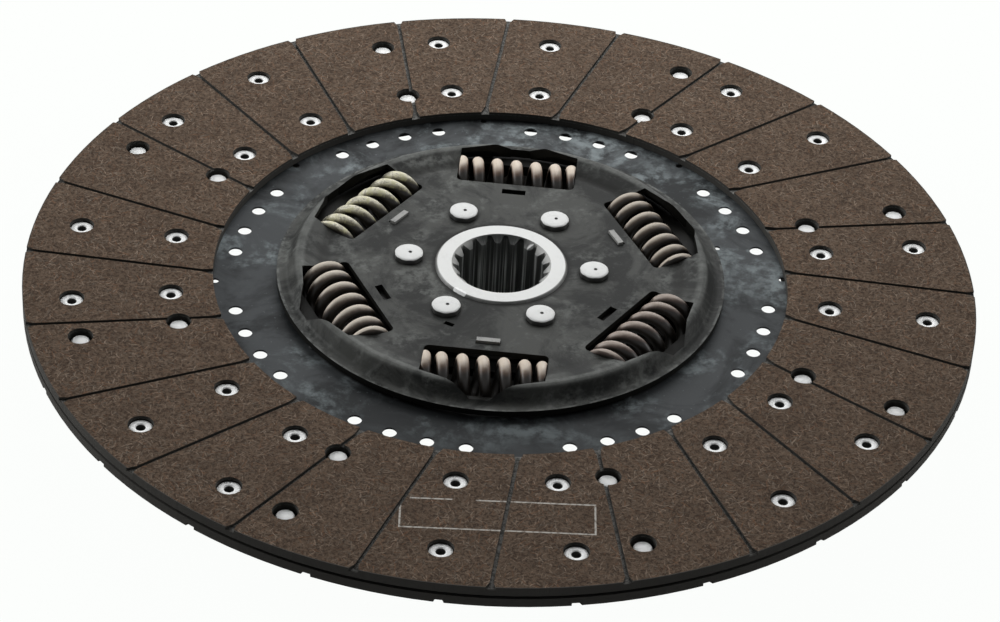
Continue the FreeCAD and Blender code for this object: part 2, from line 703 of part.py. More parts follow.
def mitred_bar(points, radius, sides):
    """Closed bar of regular section along straight runs, mitred where they meet."""
    direction = (points[1] - points[0]).normalize()
    across = direction.cross(V(0, 1, 0)).normalize()
    other = direction.cross(across)
    section = []
    for side in range(sides):
        angle = 2 * math.pi * side / sides
        offset = across * (radius * math.cos(angle)) + other * (radius * math.sin(angle))
        section.append(points[0] + offset)
    sections = [section]
    for index in range(1, len(points)):
        run = (points[index] - points[index - 1]).normalize()
        normal = run
        if index + 1 < len(points):
            normal = run + (points[index + 1] - points[index]).normalize()
        joint, slant = points[index], run.dot(normal)
        section = [corner + run * ((joint - corner).dot(normal) / slant) for corner in section]
        sections.append(section)
    faces = []
    for near, far in zip(sections, sections[1:]):
        for side in range(sides):
            following = (side + 1) % sides
            corners = [near[side], near[following], far[following], far[side]]
            faces.append(Part.Face(Part.makePolygon(corners + corners[:1])))
    for end in (sections[0], sections[-1]):
        faces.append(Part.Face(Part.makePolygon(end + end[:1])))
    solid = Part.Solid(Part.Shell(faces))
    if solid.Volume < 0:
        solid.reverse()
    return solid


COIL_STEPS_PER_TURN = 14
COIL_SIDES = 10


def damper_springs():
    """Six equal coil springs with ground ends, one in each window, lying square to the radius."""
    length = size_of("window_length - 2 * spring_end_clearance")
    outer_radius = size_of("spring_outer_radius")
    wire_radius = size_of("spring_wire_radius")
    circle = size_of("spring_circle")
    half_length = length / 2 + size_of("spring_end_overlap")
    path = coil_path(circle, half_length, outer_radius - wire_radius, size_of("spring_turns"),
                     size_of("spring_end_rise"), COIL_STEPS_PER_TURN)
    coil = mitred_bar(path, wire_radius, COIL_SIDES)
    ground_ends = Part.makeBox(4 * outer_radius, length, 4 * outer_radius,
                               V(circle - 2 * outer_radius, -length / 2, -2 * outer_radius))
    coil = coil.common(ground_ends).Solids[0]
    springs = []
    count = int(size_of("window_count"))
    for index in range(count):
        spring = doc.addObject("Part::Feature", "damper_spring_%d" % (index + 1))
        spring.Label = spring.Name
        spring.Shape = coil
        turn = FreeCAD.Rotation(UP, size_of("damper_angle") + index * 360.0 / count)
        spring.Placement = FreeCAD.Placement(V(0, 0, size_of("middle_height")), turn)
        springs.append(spring)
    return springs


subparts = [
    facing("facing_upper", above=True),
    facing("facing_lower", above=False),
    facing_rivets("facing_rivets_upper", above=True),
    facing_rivets("facing_rivets_lower", above=False),
    cushion_plate(),
    driver_disc(),
    carrier_rivets(),
    hub(),
    cover_plate("cover_plate_upper", upper=True),
    cover_plate("cover_plate_lower", upper=False),
    hub_rivets(),
    plain_ring("friction_ring_upper", "ring_bore", "friction_outer_radius",
               "friction_face", "friction_back"),
    tabbed_ring("pressure_ring", "friction_back", "pressure_back", upward=True),
    disc_spring(),
    plain_ring("friction_ring_lower", "ring_bore", "friction_outer_radius",
               "-friction_back", "-friction_face"),
    tabbed_ring("support_ring", "-flange_half", "-friction_back", upward=False),
]
subparts += damper_springs()
doc.recompute()

for item in doc.Objects:
    if "Invalid" in item.State or "Error" in item.State:
        raise RuntimeError(item.Name + " failed: " + str(item.State))
os.makedirs("parts", exist_ok=True)
for item in subparts:
    shape = item.Shape
    if shape.isNull() or not shape.isValid():
        raise RuntimeError(item.Label + " has no valid shape")
    print(item.Label, len(shape.Solids), "solids", round(shape.Volume, 1), "mm3")
    shape.exportStep("parts/" + item.Label + ".step")
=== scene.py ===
import math

import bmesh
import bpy
from mathutils import Matrix, Vector


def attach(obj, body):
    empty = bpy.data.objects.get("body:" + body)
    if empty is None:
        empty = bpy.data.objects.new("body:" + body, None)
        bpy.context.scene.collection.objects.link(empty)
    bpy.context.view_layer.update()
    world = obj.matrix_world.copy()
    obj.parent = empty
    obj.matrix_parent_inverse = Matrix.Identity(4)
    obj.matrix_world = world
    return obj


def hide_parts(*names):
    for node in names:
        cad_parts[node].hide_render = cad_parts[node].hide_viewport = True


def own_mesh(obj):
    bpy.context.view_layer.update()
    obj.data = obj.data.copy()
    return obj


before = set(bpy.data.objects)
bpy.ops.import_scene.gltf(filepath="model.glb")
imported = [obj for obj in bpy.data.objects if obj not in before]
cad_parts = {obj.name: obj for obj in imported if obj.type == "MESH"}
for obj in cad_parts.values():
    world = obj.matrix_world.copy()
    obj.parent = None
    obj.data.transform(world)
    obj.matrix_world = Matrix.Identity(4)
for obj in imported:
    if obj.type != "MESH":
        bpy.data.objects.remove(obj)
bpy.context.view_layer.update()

# Hub. A turned steel forging with an 18-tooth broached bore. Its end face is ground bright, its flange is
# clamped between the two cover plates, and the bore stays dark with oil and long broaching marks. The marks
# are also painted bright as the reflection they give, more so deeper in the bore; the tooth ends are painted
# dark as shade, with painted light at the left and right; and a few painted glints lie on the ring's edge
# and on one tooth. A pair of lengths is where a change of finish starts and where it is complete.
HUB_FACE = (0.760, 0.770, 0.755, 1.0)
HUB_BORE = (0.100, 0.104, 0.100, 1.0)
HUB_MARKS_AND_SHEEN = (0.860, 0.880, 0.860, 1.0)
HUB_TOOTH_LIT = (0.420, 0.425, 0.410, 1.0)
HUB_TOOTH_SHADE = (0.022, 0.023, 0.022, 1.0)
HUB_OUTSIDE = (0.090, 0.092, 0.088, 1.0)
HUB_CHAMFER = (0.300, 0.305, 0.295, 1.0)
HUB_WORN = (0.520, 0.520, 0.500, 1.0)
HUB_GLINT = (0.950, 0.960, 0.950, 1.0)
BORE_RADIUS = (0.0227, 0.0224)
CHAMFER_RADIUS = (0.0288, 0.0292)
END_FACE_LEVEL = (0.0434, 0.0439)
TOOTH_END_LEVEL = (0.0405, 0.0432)
MARKED_LEVEL = (0.0400, 0.0240)
TOOTH_LIT_SIDES = (0.009, 0.018)
MARKS_ROUND_BORE = 9.0
MARKS_ALONG_BORE = 3.0
GLINT_CORE = 0.7
PAINTED_GLINTS = [
    ((-0.0196, -0.0217, 0.0438), 0.0017), ((-0.0180, -0.0231, 0.0438), 0.0019),
    ((-0.0163, -0.0244, 0.0438), 0.0017), ((0.0130, 0.0146, 0.0425), 0.0028),
]
FINE_CLOUDS = 5.3
GRAIN_SCALE = 2600.0
SPECK_SCALE = 520.0
BUMP_DEPTH = 0.0004


def add_node(tree, kind, inputs=None, **settings):
    """A node with its settings made and its sockets filled or linked."""
    node = tree.nodes.new(kind)
    for name, value in settings.items():
        setattr(node, name, value)
    for socket, value in (inputs or {}).items():
        if isinstance(value, bpy.types.NodeSocket):
            tree.links.new(value, node.inputs[socket])
        else:
            node.inputs[socket].default_value = value
    return node


def calc(tree, operation, first, second=0.0, third=0.0):
    node = add_node(tree, "ShaderNodeMath", {0: first, 1: second, 2: third}, operation=operation)
    return node.outputs[0]


def ease(tree, value, start, end, low=0.0, high=1.0):
    """Runs smoothly from low to high while value goes from start to end."""
    node = add_node(tree, "ShaderNodeMapRange", {"Value": value, "From Min": start, "From Max": end,
                    "To Min": low, "To Max": high}, interpolation_type="SMOOTHSTEP")
    return node.outputs["Result"]


def band(tree, value, rise, fall):
    """1 from the end of the rise to the end of the fall, each a start and an end, and 0 outside."""
    return calc(tree, "MULTIPLY", ease(tree, value, *rise), ease(tree, value, *fall))


def mix_colours(tree, amount, first, second):
    node = add_node(tree, "ShaderNodeMix", {0: amount, 6: first, 7: second}, data_type="RGBA")
    return node.outputs[2]


def vector_value(tree, operation, first, second):
    node = add_node(tree, "ShaderNodeVectorMath", {0: first, 1: second}, operation=operation)
    return node.outputs["Value"]


def noise(tree, position, scale, detail=4.0, roughness=0.55, distortion=0.0):
    node = add_node(tree, "ShaderNodeTexNoise", {"Vector": position, "Scale": scale, "Detail": detail,
                    "Roughness": roughness, "Distortion": distortion})
    return node.outputs["Fac"]


def new_finish(name):
    """A material, its node tree, its shader and the Object coordinates that its patterns follow."""
    material = bpy.data.materials.new(name)
    material.use_nodes = True
    tree = material.node_tree
    shader = tree.nodes["Principled BSDF"]
    position = add_node(tree, "ShaderNodeTexCoord").outputs["Object"]
    return material, tree, shader, position


def new_group(name, inputs, outputs):
    """A node group with named inputs and outputs, the sockets that it is given and those it fills."""
    tree = bpy.data.node_groups.new(name, "ShaderNodeTree")
    for socket, (kind, value) in inputs.items():
        made = tree.interface.new_socket(name=socket, in_out="INPUT", socket_type=kind)
        if value is not None:
            made.default_value = value
    for socket, kind in outputs.items():
        tree.interface.new_socket(name=socket, in_out="OUTPUT", socket_type=kind)
    return tree, tree.nodes.new("NodeGroupInput").outputs, tree.nodes.new("NodeGroupOutput").inputs


def make_dull_film_group():
    """Cloudy film left by washing and handling: soft clouds, a fine grain and specks of dust."""
    tree, given, made = new_group(
        "Dull film", {"Position": ("NodeSocketVector", None), "Cloud Scale": ("NodeSocketFloat", 40.0)},
        {"Clouds": "NodeSocketFloat", "Grain": "NodeSocketFloat", "Specks": "NodeSocketFloat"})
    position, cloud_scale = given["Position"], given["Cloud Scale"]
    wide = noise(tree, position, cloud_scale, detail=6.0, roughness=0.62, distortion=0.6)
    fine_scale = calc(tree, "MULTIPLY", cloud_scale, FINE_CLOUDS)
    fine = noise(tree, position, fine_scale, detail=4.0, roughness=0.6)
    clouds = calc(tree, "MULTIPLY", ease(tree, wide, 0.46, 0.66), ease(tree, fine, 0.36, 0.64))
    grain = noise(tree, position, GRAIN_SCALE, detail=2.0, roughness=0.5)
    dust = noise(tree, position, SPECK_SCALE, detail=3.0, roughness=0.6)
    tree.links.new(clouds, made["Clouds"])
    tree.links.new(grain, made["Grain"])
    tree.links.new(ease(tree, dust, 0.64, 0.76), made["Specks"])
    return tree


DULL_FILM = make_dull_film_group()


def dull_film(tree, position, cloud_scale):
    """The film's three outputs: Clouds, Grain and Specks."""
    node = add_node(tree, "ShaderNodeGroup", {"Position": position, "Cloud Scale": cloud_scale},
                    node_tree=DULL_FILM)
    return node.outputs


def split(tree, position):
    """The X, Y and Z of a place, each an output of its own."""
    return add_node(tree, "ShaderNodeSeparateXYZ", {"Vector": position}).outputs


def distance_from_axis(tree, parts):
    flat = add_node(tree, "ShaderNodeCombineXYZ", {"X": parts["X"], "Y": parts["Y"]})
    return add_node(tree, "ShaderNodeVectorMath", {0: flat.outputs[0]}, operation="LENGTH").outputs["Value"]


def angle_about_axis(tree, parts):
    return calc(tree, "ARCTAN2", parts["Y"], parts["X"])


def bump(tree, shader, height, strength):
    node = add_node(tree, "ShaderNodeBump", {"Height": height, "Strength": strength, "Distance": BUMP_DEPTH})
    tree.links.new(node.outputs["Normal"], shader.inputs["Normal"])


def finish_of_hub():
    material, tree, shader, position = new_finish("hub_ground_steel")
    parts = split(tree, position)
    radius, level = distance_from_axis(tree, parts), parts["Z"]
    film = dull_film(tree, position, 90.0)
    round_bore = add_node(tree, "ShaderNodeCombineXYZ", {
        "X": calc(tree, "MULTIPLY", angle_about_axis(tree, parts), MARKS_ROUND_BORE),
        "Z": calc(tree, "MULTIPLY", level, MARKS_ALONG_BORE)})
    marks = noise(tree, round_bore.outputs[0], 2.0, detail=4.0, roughness=0.6)
    # The broaching marks are real, and they are also painted bright as a reflection, more so deeper in the
    # bore.
    deeper = ease(tree, level, *MARKED_LEVEL, 0.15, 1.0)
    scored_and_sheen = calc(tree, "MULTIPLY", ease(tree, marks, 0.46, 0.62), deeper)
    bore = mix_colours(tree, scored_and_sheen, HUB_BORE, HUB_MARKS_AND_SHEEN)
    # Painted shade darkens the tooth ends, and painted light brightens them again at the left and right.
    tooth_end = ease(tree, level, *TOOTH_END_LEVEL)
    wear_and_painted_light = ease(tree, calc(tree, "ABSOLUTE", parts["X"]), *TOOTH_LIT_SIDES, 0.0, 0.90)
    bore = mix_colours(tree, calc(tree, "MULTIPLY", tooth_end, 0.85), bore, HUB_TOOTH_SHADE)
    bore = mix_colours(tree, calc(tree, "MULTIPLY", tooth_end, wear_and_painted_light), bore, HUB_TOOTH_LIT)
    face = mix_colours(tree, ease(tree, radius, *CHAMFER_RADIUS), HUB_FACE, HUB_CHAMFER)
    outside = mix_colours(tree, ease(tree, level, *END_FACE_LEVEL), HUB_OUTSIDE, face)
    worn = mix_colours(tree, calc(tree, "MULTIPLY", film["Clouds"], 0.18), outside, HUB_WORN)
    colour = mix_colours(tree, ease(tree, radius, *BORE_RADIUS), worn, bore)
    # Painted highlight: small bright glints on the ring's edge and on one tooth.
    for place, reach in PAINTED_GLINTS:
        glint = ease(tree, vector_value(tree, "DISTANCE", position, place), reach, reach * GLINT_CORE)
        colour = mix_colours(tree, glint, colour, HUB_GLINT)
    tree.links.new(colour, shader.inputs["Base Color"])
    shader.inputs["Specular IOR Level"].default_value = 0.20
    tree.links.new(ease(tree, film["Grain"], 0.2, 0.8, 0.34, 0.48), shader.inputs["Roughness"])
    bump(tree, shader, film["Grain"], 0.08)
    return material


def dress(node, material):
    """Give a CAD node its finish in place of its own materials."""
    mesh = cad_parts[node].data
    mesh.materials.clear()
    mesh.materials.append(material)


dress("hub", finish_of_hub())

# Driver disc, cushion plate and the damper's rings. All are blanked from spring or carbon steel sheet, blued
# by hardening, and carry a greasy film with pale smudges where they were washed and handled. Inside the
# damper's rim they are painted black as shade, and the near side is painted darker as shade. They lie about
# the damper's middle plane, 34 mm above the hub's long end.
DAMPER_MIDDLE = 0.034
BLUED_STEEL = (0.060, 0.065, 0.068, 1.0)
BLUED_SMUDGE = (0.230, 0.262, 0.270, 1.0)
BLUED_DARK = (0.020, 0.022, 0.023, 1.0)
SHADE_BLACK = (0.008, 0.008, 0.007, 1.0)
TAB_STEEL = (0.270, 0.270, 0.258, 1.0)
NEAR_SIDE_SHADE = (-0.080, -0.122)
DAMPER_RIM = (0.0990, 0.1015)
TAB_END = (0.0074, 0.0080)


def height_from_middle(tree, parts):
    """Distance above or below the damper's middle plane."""
    return calc(tree, "ABSOLUTE", calc(tree, "SUBTRACT", parts["Z"], DAMPER_MIDDLE))


def finish_of_blued_steel():
    material, tree, shader, position = new_finish("blued_sheet_steel")
    parts = split(tree, position)
    film = dull_film(tree, position, 34.0)
    patches = noise(tree, position, 17.0, detail=5.0, roughness=0.66, distortion=0.8)
    base = mix_colours(tree, ease(tree, patches, 0.42, 0.58), BLUED_DARK, BLUED_STEEL)
    smudged = mix_colours(tree, calc(tree, "MULTIPLY", film["Clouds"], 0.95), base, BLUED_SMUDGE)
    smudged = mix_colours(tree, calc(tree, "MULTIPLY", film["Specks"], 0.35), smudged, BLUED_SMUDGE)
    # Painted shade: darker towards the near side.
    near_side_shaded = mix_colours(tree, ease(tree, parts["Y"], *NEAR_SIDE_SHADE, 0.0, 0.66), smudged, BLUED_DARK)
    # Painted shade: black inside the damper's rim.
    outside_damper = ease(tree, distance_from_axis(tree, parts), *DAMPER_RIM)
    tree.links.new(mix_colours(tree, outside_damper, SHADE_BLACK, near_side_shaded), shader.inputs["Base Color"])
    shader.inputs["Specular IOR Level"].default_value = 0.05
    tree.links.new(calc(tree, "MULTIPLY_ADD", film["Clouds"], 0.15, 0.48), shader.inputs["Roughness"])
    bump(tree, shader, film["Grain"], 0.10)
    return material


def finish_of_tabs():
    """The rings are painted black as shade inside the damper; the ends of their tabs are rubbed grey."""
    material, tree, shader, position = new_finish("tabbed_ring_steel")
    film = dull_film(tree, position, 200.0)
    wear_and_painted_light = mix_colours(tree, calc(tree, "MULTIPLY", film["Clouds"], 0.5), TAB_STEEL, BLUED_STEEL)
    tab_end = ease(tree, height_from_middle(tree, split(tree, position)), *TAB_END)
    tree.links.new(mix_colours(tree, tab_end, SHADE_BLACK, wear_and_painted_light), shader.inputs["Base Color"])
    shader.inputs["Specular IOR Level"].default_value = 0.30
    shader.inputs["Roughness"].default_value = 0.48
    bump(tree, shader, film["Grain"], 0.10)
    return material


blued_steel = finish_of_blued_steel()
for sheet_piece in ("driver_disc", "cushion_plate", "disc_spring", "carrier_rivets"):
    dress(sheet_piece, blued_steel)
tab_steel = finish_of_tabs()
for tabbed_ring in ("pressure_ring", "support_ring"):
    dress(tabbed_ring, tab_steel)

# Friction rings of the damper. Two moulded rings of glass-filled resin between the driver disc and the
# steel rings. They are black and dull, and hardly show between the plates.
RESIN = (0.018, 0.018, 0.017, 1.0)
RESIN_WORN = (0.050, 0.050, 0.048, 1.0)


def finish_of_resin():
    material, tree, shader, position = new_finish("moulded_resin")
    film = dull_film(tree, position, 120.0)
    worn = mix_colours(tree, calc(tree, "MULTIPLY", film["Clouds"], 0.5), RESIN, RESIN_WORN)
    tree.links.new(worn, shader.inputs["Base Color"])
    shader.inputs["Roughness"].default_value = 0.62
    bump(tree, shader, film["Grain"], 0.15)
    return material


resin = finish_of_resin()
for friction_ring in ("friction_ring_upper", "friction_ring_lower"):
    dress(friction_ring, resin)

# Damper springs. Six coils of round hardened wire with closed, ground ends, wound to one hand. The wire is
# beige-grey with a waxy film; its side towards the light is painted pale and the other side painted brown
# and then black as shade, brighter on some coils than on others; one coil has traces of yellow paint. At
# either limit of the damper's twist the coils are squeezed to 0.83 of their length.
DAMPER_TURN = math.radians(26.2)
SPRINGS = 6
SPRING_AXIS = 0.076
COIL_RADIUS = 0.00950
WIRE_RADIUS = 0.00265
COIL_LENGTH = 0.0543
COIL_TURNS = 6.5
END_RISE = 0.0070
END_OVERLAP = 0.0004
WIRE_SIDES = 20
STEPS_A_TURN = 36
# Each coil's pale tone for its painted lit side and dark tone for its painted shaded side.
WIRE_LIT_AND_SHADED = {
    1: ((0.420, 0.370, 0.305, 1.0), (0.075, 0.056, 0.042, 1.0)),
    2: ((0.640, 0.555, 0.460, 1.0), (0.110, 0.068, 0.048, 1.0)),
    3: ((0.720, 0.690, 0.550, 1.0), (0.170, 0.155, 0.110, 1.0)),
    4: ((0.530, 0.475, 0.400, 1.0), (0.085, 0.064, 0.050, 1.0)),
    5: ((0.580, 0.505, 0.420, 1.0), (0.100, 0.066, 0.048, 1.0)),
    6: ((0.330, 0.275, 0.235, 1.0), (0.060, 0.040, 0.032, 1.0)),
}
# Painted shade: the near-black of the wire's side away from the light.
WIRE_PAINTED_SHADE = (0.010, 0.008, 0.006, 1.0)
# How much more painted light each coil gets.
EXTRA_PAINTED_LIGHT = {1: 0.0, 2: 0.08, 3: 0.38, 4: 0.12, 5: 0.0, 6: 0.06}
PAINT_YELLOW = (0.520, 0.500, 0.280, 1.0)
PAINTED_SPRING = 3
# Directions towards the light, across the coil and for the wire's surface, that the painted light follows.
LIGHT_SIDE = Vector((-0.25, 0.50, 0.83)).normalized()
FACING_LIGHT = Vector((-0.20, 0.75, 0.63)).normalized()


def turn_of_spring(number):
    return Matrix.Rotation(DAMPER_TURN + 2 * math.pi * (number - 1) / SPRINGS, 3, "Z")


def middle_of_spring(number):
    return turn_of_spring(number) @ Vector((SPRING_AXIS, 0, DAMPER_MIDDLE))


def along_spring(number):
    return turn_of_spring(number) @ Vector((0, 1, 0))


def finish_of_wire(number):
    """Painted light and shade: pale on the side that faces the light, painted brown and then black as shade
    towards the other.
    """
    pale_lit_tone, dark_shaded_tone = WIRE_LIT_AND_SHADED[number]
    material, tree, shader, position = new_finish("spring_wire_%d" % number)
    along = along_spring(number)
    across = (LIGHT_SIDE - along * LIGHT_SIDE.dot(along)).normalized() / (COIL_RADIUS + WIRE_RADIUS)
    from_middle = add_node(tree, "ShaderNodeVectorMath", {0: position, 1: middle_of_spring(number)},
                           operation="SUBTRACT").outputs[0]
    on_coil = vector_value(tree, "DOT_PRODUCT", from_middle, across)
    facing = add_node(tree, "ShaderNodeNewGeometry").outputs["Normal"]
    on_wire = vector_value(tree, "DOT_PRODUCT", facing, FACING_LIGHT)
    film = noise(tree, position, 150.0 + 7.0 * number, detail=3.0, roughness=0.55, distortion=0.3)
    grain = noise(tree, position, GRAIN_SCALE, detail=2.0, roughness=0.5)
    lit_amount = calc(tree, "MULTIPLY_ADD", on_wire, 0.9, calc(tree, "ADD", on_coil, EXTRA_PAINTED_LIGHT[number]))
    lit_amount = calc(tree, "MULTIPLY_ADD", calc(tree, "SUBTRACT", film, 0.5), 0.5, lit_amount)
    colour = mix_colours(tree, ease(tree, lit_amount, 0.75, 1.40), dark_shaded_tone, pale_lit_tone)
    if number == PAINTED_SPRING:
        flakes = noise(tree, position, 260.0, detail=5.0, roughness=0.7, distortion=0.5)
        colour = mix_colours(tree, ease(tree, flakes, 0.50, 0.44, 0.0, 0.55), colour, dark_shaded_tone)
        colour = mix_colours(tree, ease(tree, flakes, 0.50, 0.60, 0.0, 0.70), colour, PAINT_YELLOW)
    # Painted shade: the wire turns near-black where it faces away from the light.
    painted_shade = ease(tree, lit_amount, 0.90, 0.45)
    tree.links.new(mix_colours(tree, painted_shade, colour, WIRE_PAINTED_SHADE), shader.inputs["Base Color"])
    shader.inputs["Specular IOR Level"].default_value = 0.25
    tree.links.new(ease(tree, film, 0.3, 0.7, 0.38, 0.52), shader.inputs["Roughness"])
    bump(tree, shader, grain, 0.10)
    return material


def everything(shape):
    return shape.verts[:] + shape.edges[:] + shape.faces[:]


def open_edges(shape):
    return [edge for edge in shape.edges if edge.is_boundary]


def make_spring(number):
    """The round wire's section is spun about the coil's axis while it travels along it."""
    shape = bmesh.new()
    bmesh.ops.create_circle(shape, segments=WIRE_SIDES, radius=WIRE_RADIUS)
    reach = COIL_LENGTH / 2 + END_OVERLAP
    bmesh.ops.translate(shape, verts=shape.verts, vec=(-COIL_RADIUS, -reach, 0))
    pitch = 2 * (reach - END_RISE) / (COIL_TURNS - 2)
    tip = shape.edges[:]
    for turns, rise in ((1.0, END_RISE), (COIL_TURNS - 2, pitch), (1.0, END_RISE)):
        steps = int(round(turns * STEPS_A_TURN))
        spun = bmesh.ops.spin(shape, geom=tip, cent=(0, 0, 0), axis=(0, 1, 0), angle=2 * math.pi * turns,
                              dvec=(0, rise * turns / steps, 0), steps=steps, use_duplicate=False)
        tip = [item for item in spun["geom_last"] if isinstance(item, bmesh.types.BMEdge)]
    bmesh.ops.holes_fill(shape, edges=open_edges(shape), sides=WIRE_SIDES)
    for side in (-1, 1):
        cut = bmesh.ops.bisect_plane(shape, geom=everything(shape), plane_co=(0, side * COIL_LENGTH / 2, 0),
                                     plane_no=(0, side, 0), clear_outer=True)
        rim = [item for item in cut["geom_cut"] if isinstance(item, bmesh.types.BMEdge)]
        bmesh.ops.triangle_fill(shape, edges=rim, use_beauty=True)
    bmesh.ops.recalc_face_normals(shape, faces=shape.faces)
    bmesh.ops.translate(shape, verts=shape.verts, vec=(SPRING_AXIS, 0, DAMPER_MIDDLE))
    bmesh.ops.rotate(shape, verts=shape.verts, cent=(0, 0, 0), matrix=turn_of_spring(number))
    return shape


def add_piece(name, shape, materials, body):
    """Put a finished bmesh into the scene as one smooth-shaded piece that rides on a body."""
    for face in shape.faces:
        face.smooth = True
    mesh = bpy.data.meshes.new(name)
    shape.to_mesh(mesh)
    shape.free()
    for material in materials:
        mesh.materials.append(material)
    piece = bpy.data.objects.new(name, mesh)
    bpy.context.scene.collection.objects.link(piece)
    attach(piece, body)
    return piece


for number in range(1, SPRINGS + 1):
    spring = add_piece("coil_spring_%d" % number, make_spring(number), [finish_of_wire(number)],
                       "hub_assembly")
    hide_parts("damper_spring_%d" % number)
    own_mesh(spring)

# Cover plates. Two deep-drawn steel plates, phosphated dark grey, riveted to both sides of the hub flange.
# The upper one rises in a bead over the spring ends and turns out to a flat lip. Their inner faces and cut
# walls are painted black as shade.
COVER_GREY = (0.060, 0.062, 0.058, 1.0)
COVER_PALE = (0.190, 0.198, 0.188, 1.0)
COVER_DARK = (0.018, 0.019, 0.018, 1.0)
LIP_EDGE = (0.0998, 0.1010)
CREST_RISE = (0.0880, 0.0900)
CREST_FALL = (0.0940, 0.0922)
FOOT_RISE = (0.0765, 0.0795)
FOOT_FALL = (0.0850, 0.0815)
ROUND_HUB = (0.0326, 0.0306)
ROUND_RIVET = (0.0086, 0.0064)
OUTER_SIDE = (0.03, 0.30)
HUB_RIVETS = 6
RIVET_CIRCLE = 0.0421
RIVET_TURN = math.radians(56.2)


def distance_from_rivet(tree, parts):
    """Distance on the plate from the nearest of the hub rivets, evenly spaced on their circle."""
    step = 2 * math.pi / HUB_RIVETS
    from_first = calc(tree, "SUBTRACT", angle_about_axis(tree, parts), RIVET_TURN)
    nearest = calc(tree, "ROUND", calc(tree, "DIVIDE", from_first, step))
    angle = calc(tree, "MULTIPLY_ADD", nearest, step, RIVET_TURN)
    centre = add_node(tree, "ShaderNodeCombineXYZ", {
        "X": calc(tree, "MULTIPLY", calc(tree, "COSINE", angle), RIVET_CIRCLE),
        "Y": calc(tree, "MULTIPLY", calc(tree, "SINE", angle), RIVET_CIRCLE)})
    flat = add_node(tree, "ShaderNodeCombineXYZ", {"X": parts["X"], "Y": parts["Y"]})
    return vector_value(tree, "DISTANCE", flat.outputs[0], centre.outputs[0])


def finish_of_cover():
    """Rubbed pale on lip and crest, with a painted highlight there too; painted shade at the bead's foot,
    round the hub and round the rivets.
    """
    material, tree, shader, position = new_finish("phosphated_cover_steel")
    parts = split(tree, position)
    radius = distance_from_axis(tree, parts)
    film = dull_film(tree, position, 55.0)
    patches = noise(tree, position, 26.0, detail=6.0, roughness=0.70, distortion=0.8)
    base = mix_colours(tree, ease(tree, patches, 0.42, 0.58), COVER_DARK, COVER_GREY)
    wear_and_painted_light = mix_colours(tree, calc(tree, "MULTIPLY", film["Clouds"], 0.55), base, COVER_PALE)
    wear_and_painted_light = mix_colours(tree, calc(tree, "MULTIPLY", film["Specks"], 0.22), wear_and_painted_light, COVER_PALE)
    scuffs = noise(tree, position, 130.0, detail=4.0, roughness=0.7)
    # Rubbed pale on the lip and on the crest: partly real wear and partly a painted highlight.
    on_lip = calc(tree, "MULTIPLY", ease(tree, radius, *LIP_EDGE), ease(tree, scuffs, 0.42, 0.62, 0.0, 0.70))
    on_crest = calc(tree, "MULTIPLY", band(tree, radius, CREST_RISE, CREST_FALL),
                    ease(tree, scuffs, 0.30, 0.66, 0.20, 0.50))
    wear_and_painted_light = mix_colours(tree, calc(tree, "MAXIMUM", on_lip, on_crest), wear_and_painted_light, COVER_PALE)
    # Painted shade at the bead's foot, round the hub and round each rivet.
    at_foot = calc(tree, "MULTIPLY", band(tree, radius, FOOT_RISE, FOOT_FALL), 0.75)
    at_hub = ease(tree, radius, *ROUND_HUB)
    at_rivet = ease(tree, distance_from_rivet(tree, parts), *ROUND_RIVET)
    painted_shade = calc(tree, "MAXIMUM", at_foot, calc(tree, "MAXIMUM", at_hub, at_rivet))
    wear_and_painted_light = mix_colours(tree, calc(tree, "MULTIPLY", painted_shade, 0.80), wear_and_painted_light, SHADE_BLACK)
    # Painted shade: faces that do not point away from the damper's middle, such as the inner faces and cut
    # walls, are black.
    upward = split(tree, add_node(tree, "ShaderNodeNewGeometry").outputs["Normal"])["Z"]
    side = calc(tree, "SIGN", calc(tree, "SUBTRACT", parts["Z"], DAMPER_MIDDLE))
    outside = ease(tree, calc(tree, "MULTIPLY", upward, side), *OUTER_SIDE)
    tree.links.new(mix_colours(tree, outside, SHADE_BLACK, wear_and_painted_light), shader.inputs["Base Color"])
    shader.inputs["Specular IOR Level"].default_value = 0.05
    tree.links.new(calc(tree, "MULTIPLY_ADD", film["Clouds"], 0.12, 0.42), shader.inputs["Roughness"])
    bump(tree, shader, film["Grain"], 0.16)
    return material


cover_steel = finish_of_cover()
for cover in ("cover_plate_upper", "cover_plate_lower"):
    dress(cover, cover_steel)

# Hub rivets. Six thick steel rivets, hot-upset between two dies, clamp both cover plates on the hub flange.
# Each bright head has eight faint flats from the die and an off-centre punch mark; the sides of the heads
# are painted dark as shade, and the punch marks are painted black as shade. Levels are measured from the
# damper's middle plane.
BRIGHT_RIVET = (0.640, 0.648, 0.635, 1.0)
RIVET_SHADE = (0.470, 0.475, 0.462, 1.0)
RIVET_SIDE_SHADE = (0.036, 0.036, 0.034, 1.0)
RECESS_SHADE = (0.030, 0.030, 0.028, 1.0)
RECESS_SHADE_PALE = (0.070, 0.068, 0.064, 1.0)
HEAD_LEVEL = 0.01145
COVER_LEVEL = 0.00895
HEAD_RADIUS = 0.0066
HEAD_STEPS = 48
HEAD_FLATS = 8
HEAD_FLAT = 0.00628
FLAT_TURN = math.radians(10)
MARK_RADIUS = 0.0008
MARK_DEPTH = 0.0007
MARK_ZONE = 0.0008
MARK_OFFSET = Vector((0.0006, 0.0001, 0))
MARK_CLEAR = 0.0022
SHANK_RADIUS = 0.0042
CRISP_HEAD = math.radians(28)


